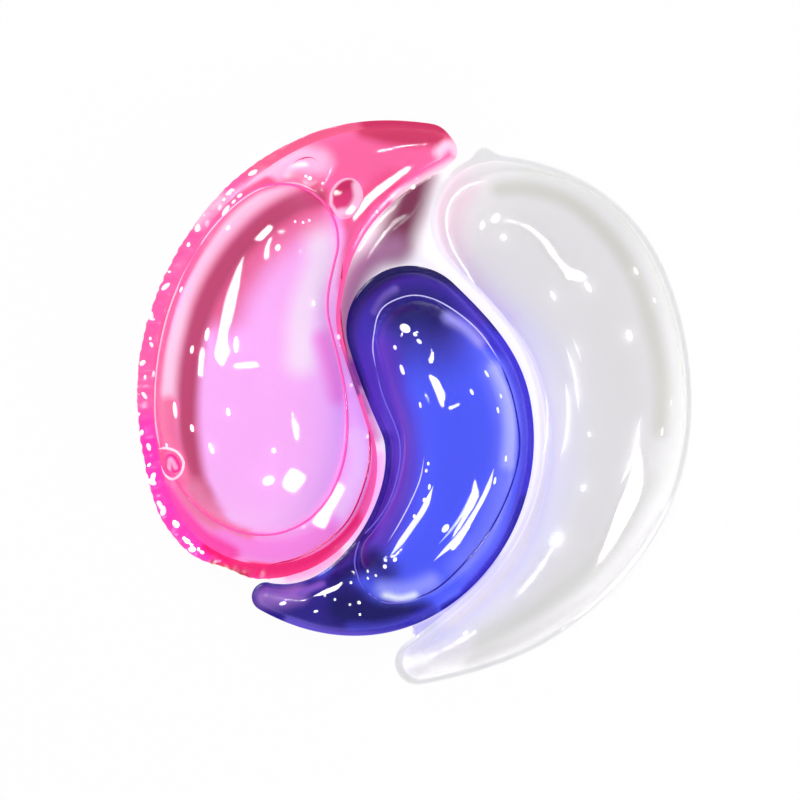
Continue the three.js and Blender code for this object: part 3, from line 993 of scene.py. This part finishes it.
def tube(line, radius):
    """Points and faces of a tube along a line, drawn out fine at its ends."""
    ahead = np.gradient(line, axis=0)
    ahead /= np.linalg.norm(ahead, axis=1)[:, None]
    side = np.cross(ahead, (0, 0, 1))
    side /= np.linalg.norm(side, axis=1)[:, None]
    up = np.cross(side, ahead)
    along = np.concatenate([[0], np.linalg.norm(np.diff(line, axis=0), axis=1).cumsum()])
    width = radius * np.clip(np.minimum(along, along[-1] - along) / CREASE_TAPER, CREASE_TIP, 1)
    turn = np.linspace(0, math.tau, CREASE_SIDES, endpoint=False)
    ring = np.cos(turn)[None, :, None] * side[:, None, :] + np.sin(turn)[None, :, None] * up[:, None, :]
    points = (line[:, None, :] + ring * width[:, None, None]).reshape(-1, 3)
    faces = [
        [j * CREASE_SIDES + i, j * CREASE_SIDES + (i + 1) % CREASE_SIDES,
         (j + 1) * CREASE_SIDES + (i + 1) % CREASE_SIDES, (j + 1) * CREASE_SIDES + i]
        for j in range(len(line) - 1) for i in range(CREASE_SIDES)
    ]
    return points, faces


def foot_line(chamber):
    """The foot of a pillow, from where it leaves the chamber's edge round to where it meets it again."""
    right, left = section_lines(chamber["pillow_curve"], 0.0)
    ring = np.vstack([right, left[::-1]])
    edge, _ = reach(ring, chamber["edge_curve"])
    ring = np.roll(ring, -int(edge.argmax()), axis=0)
    edge = np.roll(edge, -int(edge.argmax()))
    clear = np.flatnonzero(edge < FOOT_REACH)
    return ring[clear[0]:clear[-1]]


def crease_piece(name, material):
    """All the creases of one chamber, with their painted highlights and shade."""
    lines = [(*crease, smooth_line(from_pixels(pixels))) for *crease, pixels in CREASES_AND_PAINTED_HIGHLIGHTS]
    lines.append((*FOOT_CREASE, foot_line(CHAMBERS[FOOT_CREASE[0]])))
    parts = []
    dye_and_painted_light = []
    for chamber, colour, radius, xy in lines:
        if chamber != name:
            continue
        z = top_height(CHAMBERS[name], xy, 0.0) + radius
        parts.append(tube(np.column_stack([xy, z]), radius))
        dye_and_painted_light.append(np.tile(linear(*colour), (len(parts[-1][0]), 1)))
    mesh_piece(name + "_creases", *joined(parts), material, np.vstack(dye_and_painted_light))


# Creases take the liquids' material, with painted highlight colours and a painted glow
crease_and_highlight_wall = liquid_material("crease")
for name in CHAMBERS:
    crease_piece(name, crease_and_highlight_wall)


# Stage, in metres
FLOOR_HALF = 1.5
FLOOR_WHITE = (0.95, 0.95, 0.95, 1)
FLOOR_ROUGHNESS = 0.6
FLOOR_SHOWN = 0.97
SKY_LEVEL = 0.36
LAMP_DISTANCE = 0.32
# Each lamp: rise above the floor and bearing round it in degrees, and size
FILL_RADIANCE = 1.6
FILL_PANEL = (70, 120, (0.22, 0.22))
GLOSS_RADIANCE = 150
SOFTBOXES = {
    "key_softbox": (56, 137, (0.075, 0.076)),
    "top_softbox": (73, 102, (0.085, 0.016)),
    "left_softbox": (34, 164, (0.08, 0.04)),
    "right_softbox": (32, -39, (0.15, 0.20)),
}
# Camera, in millimetres
LENS_LENGTH = 400
SENSOR_WIDTH = 36


def background_rays(nodes, links):
    """A socket that is 1 for rays that show the background, directly or by way of gloss or glass."""
    path = nodes.new("ShaderNodeLightPath")
    shown = path.outputs["Is Camera Ray"]
    for kind in ("Is Glossy Ray", "Is Transmission Ray"):
        either = nodes.new("ShaderNodeMath")
        either.operation = "MAXIMUM"
        links.new(shown, either.inputs[0])
        links.new(path.outputs[kind], either.inputs[1])
        shown = either.outputs[0]
    return shown


def stage():
    """White floor that keeps the pod's shadow."""
    mesh = bpy.data.meshes.new("floor")
    corners = [(x * FLOOR_HALF, y * FLOOR_HALF, 0) for x, y in ((-1, -1), (1, -1), (1, 1), (-1, 1))]
    mesh.from_pydata(corners, [], [(0, 1, 2, 3)])
    floor = bpy.data.objects.new("floor", mesh)
    bpy.context.scene.collection.objects.link(floor)
    material, nodes, links, shader = node_material("floor_white")
    set_inputs(shader, {"Base Color": FLOOR_WHITE, "Roughness": FLOOR_ROUGHNESS})
    glow = nodes.new("ShaderNodeEmission")
    share = nodes.new("ShaderNodeMath")
    share.operation = "MULTIPLY"
    share.inputs[1].default_value = FLOOR_SHOWN
    links.new(background_rays(nodes, links), share.inputs[0])
    mix = nodes.new("ShaderNodeMixShader")
    links.new(share.outputs[0], mix.inputs[0])
    links.new(shader.outputs[0], mix.inputs[1])
    links.new(glow.outputs[0], mix.inputs[2])
    links.new(mix.outputs[0], nodes["Material Output"].inputs["Surface"])
    mesh.materials.append(material)


def lamp(name, rise, bearing, size, radiance, gloss):
    """A rectangular lamp aimed at the pod, from a rise above the floor and a bearing round it in degrees.

    It either lights the pod or only shows as a reflection in its gloss."""
    light = bpy.data.lights.new(name, "AREA")
    light.shape = "RECTANGLE"
    light.size, light.size_y = size
    light.energy = radiance * math.pi * light.size * light.size_y
    up = math.radians(rise)
    turn = math.radians(bearing)
    toward = Vector((math.cos(up) * math.cos(turn), math.cos(up) * math.sin(turn), math.sin(up)))
    box = bpy.data.objects.new(name, light)
    box.location = toward * LAMP_DISTANCE
    box.rotation_euler = toward.to_track_quat("Z", "Y").to_euler()
    box.visible_camera = False
    box.visible_glossy = gloss
    box.visible_diffuse = not gloss
    bpy.context.scene.collection.objects.link(box)


def surroundings():
    """Even light from all round, with white behind the pod."""
    world = bpy.data.worlds.new("studio")
    world.use_nodes = True
    nodes = world.node_tree.nodes
    links = world.node_tree.links
    light = nodes["Background"]
    set_inputs(light, {"Color": (1, 1, 1, 1), "Strength": SKY_LEVEL})
    white = nodes.new("ShaderNodeBackground")
    white.inputs["Strength"].default_value = 1
    mix = nodes.new("ShaderNodeMixShader")
    links.new(background_rays(nodes, links), mix.inputs[0])
    links.new(light.outputs[0], mix.inputs[1])
    links.new(white.outputs[0], mix.inputs[2])
    links.new(mix.outputs[0], nodes["World Output"].inputs["Surface"])
    bpy.context.scene.world = world


def camera():
    """A long lens straight above the pod, that takes in the photograph's frame at the height of the seal."""
    lens = bpy.data.cameras.new("camera")
    lens.lens = LENS_LENGTH
    lens.sensor_width = SENSOR_WIDTH
    view_width = IMAGE_SIZE * PIXEL * MM
    height = view_width * lens.lens / lens.sensor_width
    centre = from_pixels([(IMAGE_SIZE / 2, IMAGE_SIZE / 2)])[0]
    eye = bpy.data.objects.new("camera", lens)
    eye.location = (np.array([*centre, 0]) + TO_FRAME) * MM + (0, 0, height)
    bpy.context.scene.collection.objects.link(eye)
    bpy.context.scene.camera = eye


stage()
surroundings()
lamp("fill_panel", *FILL_PANEL, FILL_RADIANCE, False)
for name, softbox in SOFTBOXES.items():
    lamp(name, *softbox, GLOSS_RADIANCE, True)
camera()
bpy.context.scene.view_settings.view_transform = "Standard"
